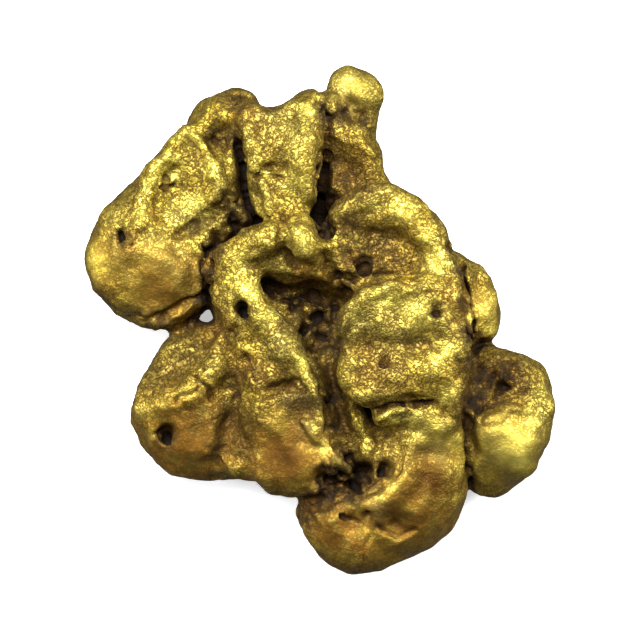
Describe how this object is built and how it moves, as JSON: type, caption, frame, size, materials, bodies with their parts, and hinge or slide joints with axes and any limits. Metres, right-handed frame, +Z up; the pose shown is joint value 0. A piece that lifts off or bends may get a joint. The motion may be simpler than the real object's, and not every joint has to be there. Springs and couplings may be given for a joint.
{
  "type": "gold nugget",
  "caption": "Natural gold nugget: a flattish lump of native gold folded into rounded lobes, with ridges, crevices and pits.",
  "frame": {"origin": "on the surface that the nugget lies on, under the middle of its bounding box", "axes": "+Y along the nugget's length, from its south lobe to the knob at the other end; +X across it, towards its right side in the view from above; +Z up, from its worn underside to the folded side that the picture shows"},
  "size_m": [0.0236, 0.0256, 0.0081],
  "materials": {
    "native_gold": "natural native gold, worn and finely dented, satin on the ridges, brown and black in the hollows"
  },
  "bodies": {
    "root": {"nugget": "native_gold"}
  },
  "joints": []
}
